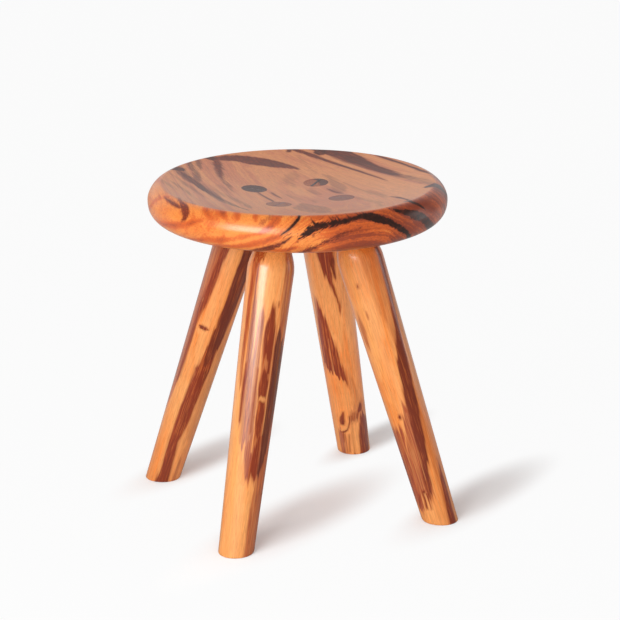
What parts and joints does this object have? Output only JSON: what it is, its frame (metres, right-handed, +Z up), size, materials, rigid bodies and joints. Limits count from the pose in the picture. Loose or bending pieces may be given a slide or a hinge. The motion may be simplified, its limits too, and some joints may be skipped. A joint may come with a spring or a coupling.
{
  "type": "wooden stool",
  "caption": "Round wooden stool with a thick dished seat and splayed tapered legs whose wedged tenons come through the seat.",
  "frame": {"origin": "on the floor, under the middle of the seat", "axes": "+Z up along the seat's axis of revolution; -Y is the front, and the legs splay to the four corners between the X and Y axes"},
  "size_m": [0.38, 0.38, 0.43],
  "materials": {
    "seat_wood": "satin oiled, with dark streaks",
    "leg_wood": "satin oiled, with dark streaks",
    "wedge_wood": "satin oiled end grain, dark"
  },
  "bodies": {
    "root": {"seat": "seat_wood", "leg_front_left": "leg_wood", "leg_front_right": "leg_wood", "leg_back_left": "leg_wood", "leg_back_right": "leg_wood", "wedge_front_left": "wedge_wood", "wedge_front_right": "wedge_wood", "wedge_back_left": "wedge_wood", "wedge_back_right": "wedge_wood"}
  },
  "joints": []
}
